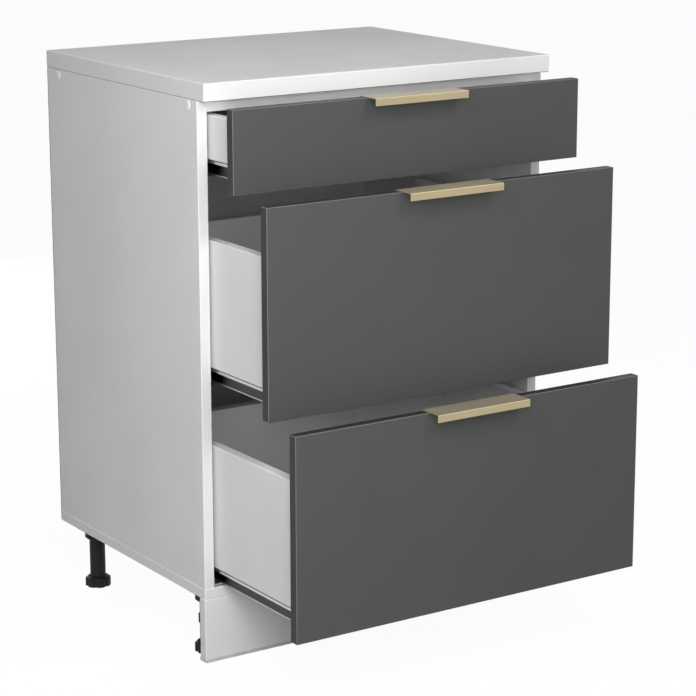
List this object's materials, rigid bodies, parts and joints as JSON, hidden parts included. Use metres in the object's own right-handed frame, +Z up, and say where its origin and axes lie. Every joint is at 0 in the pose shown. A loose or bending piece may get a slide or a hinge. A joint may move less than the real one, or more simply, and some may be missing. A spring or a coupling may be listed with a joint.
{
  "type": "base cabinet with drawers",
  "caption": "Floor-standing kitchen base cabinet with a worktop, levelling legs, a plinth and handle-pull drawers on concealed full-extension runners.",
  "frame": {"origin": "on the floor, in the middle of the box that the cabinet fills with its drawers open as at rest", "axes": "+Z up, drawer fronts face -Y, +X to the right seen from the front"},
  "size_m": [0.6024, 0.729, 0.85],
  "materials": {
    "white_laminate": "matte white melamine on chipboard",
    "worktop_laminate": "satin white laminate on chipboard",
    "white_fibreboard": "white lacquered fibreboard",
    "grey_laminate": "matte dark grey laminate",
    "brass": "brushed brass",
    "zinc_steel": "zinc-plated pressed steel",
    "black_plastic": "moulded black plastic",
    "cap_plastic": "white moulded plastic",
    "seal_plastic": "soft pale plastic",
    "clip_plastic": "moulded grey plastic"
  },
  "bodies": {
    "carcass": {"back_panel": "white_fibreboard", "bottom_panel": "white_laminate", "carcass_screws": "zinc_steel", "leg_sockets": "black_plastic", "leg_tubes": "black_plastic", "plinth_board": "white_laminate", "plinth_clips": "black_plastic", "plinth_seal": "seal_plastic", "runner_1_rail_left": "zinc_steel", "runner_1_rail_right": "zinc_steel", "runner_2_rail_left": "zinc_steel", "runner_2_rail_right": "zinc_steel", "runner_3_rail_left": "zinc_steel", "runner_3_rail_right": "zinc_steel", "screw_caps": "cap_plastic", "side_panel_left": "white_laminate", "side_panel_right": "white_laminate", "top_rail_front": "white_laminate", "top_rail_rear": "white_laminate", "worktop": "worktop_laminate"},
    "drawer_1": {"drawer_1_back": "white_laminate", "drawer_1_floor": "white_fibreboard", "drawer_1_front": "grey_laminate", "drawer_1_handle": "brass", "drawer_1_inner_front": "white_laminate", "drawer_1_locking_clips": "clip_plastic", "drawer_1_runner_left": "zinc_steel", "drawer_1_runner_right": "zinc_steel", "drawer_1_side_left": "white_laminate", "drawer_1_side_right": "white_laminate"},
    "drawer_2": {"drawer_2_back": "white_laminate", "drawer_2_floor": "white_fibreboard", "drawer_2_front": "grey_laminate", "drawer_2_handle": "brass", "drawer_2_inner_front": "white_laminate", "drawer_2_locking_clips": "clip_plastic", "drawer_2_runner_left": "zinc_steel", "drawer_2_runner_right": "zinc_steel", "drawer_2_side_left": "white_laminate", "drawer_2_side_right": "white_laminate"},
    "drawer_3": {"drawer_3_back": "white_laminate", "drawer_3_floor": "white_fibreboard", "drawer_3_front": "grey_laminate", "drawer_3_handle": "brass", "drawer_3_inner_front": "white_laminate", "drawer_3_locking_clips": "clip_plastic", "drawer_3_runner_left": "zinc_steel", "drawer_3_runner_right": "zinc_steel", "drawer_3_side_left": "white_laminate", "drawer_3_side_right": "white_laminate"},
    "foot_front_left": {"foot_front_left": "black_plastic"},
    "foot_front_right": {"foot_front_right": "black_plastic"},
    "foot_rear_left": {"foot_rear_left": "black_plastic"},
    "foot_rear_right": {"foot_rear_right": "black_plastic"},
    "runner_middles_1": {"runner_1_middles": "zinc_steel", "runner_1_rollers": "zinc_steel"},
    "runner_middles_2": {"runner_2_middles": "zinc_steel", "runner_2_rollers": "zinc_steel"},
    "runner_middles_3": {"runner_3_middles": "zinc_steel", "runner_3_rollers": "zinc_steel"}
  },
  "joints": [
    {"name": "drawer_1_slide", "type": "slide", "parent": "carcass", "child": "drawer_1", "axis": [0, -1, 0], "range_m": [-0.0745, 0.3655]},
    {"name": "runner_middles_1_slide", "type": "slide", "parent": "carcass", "child": "runner_middles_1", "axis": [0, -1, 0], "range_m": [-0.03725, 0.18275]},
    {"name": "drawer_2_slide", "type": "slide", "parent": "carcass", "child": "drawer_2", "axis": [0, -1, 0], "range_m": [-0.16, 0.28]},
    {"name": "runner_middles_2_slide", "type": "slide", "parent": "carcass", "child": "runner_middles_2", "axis": [0, -1, 0], "range_m": [-0.08, 0.14]},
    {"name": "drawer_3_slide", "type": "slide", "parent": "carcass", "child": "drawer_3", "axis": [0, -1, 0], "range_m": [-0.228, 0.212]},
    {"name": "runner_middles_3_slide", "type": "slide", "parent": "carcass", "child": "runner_middles_3", "axis": [0, -1, 0], "range_m": [-0.114, 0.106]},
    {"name": "foot_front_left_turn", "type": "hinge", "parent": "carcass", "child": "foot_front_left", "pos_m": [-0.269, -0.0495, 0], "axis": [0, 0, 1], "range_deg": [-1080, 1080]},
    {"name": "foot_front_right_turn", "type": "hinge", "parent": "carcass", "child": "foot_front_right", "pos_m": [0.269, -0.0495, 0], "axis": [0, 0, 1], "range_deg": [-1080, 1080]},
    {"name": "foot_rear_left_turn", "type": "hinge", "parent": "carcass", "child": "foot_rear_left", "pos_m": [-0.269, 0.3005, 0], "axis": [0, 0, 1], "range_deg": [-1080, 1080]},
    {"name": "foot_rear_right_turn", "type": "hinge", "parent": "carcass", "child": "foot_rear_right", "pos_m": [0.269, 0.3005, 0], "axis": [0, 0, 1], "range_deg": [-1080, 1080]}
  ],
  "couplings": [
    {"joint": "runner_middles_1_slide", "follows": "drawer_1_slide", "ratio": 0.5},
    {"joint": "runner_middles_2_slide", "follows": "drawer_2_slide", "ratio": 0.5},
    {"joint": "runner_middles_3_slide", "follows": "drawer_3_slide", "ratio": 0.5}
  ]
}
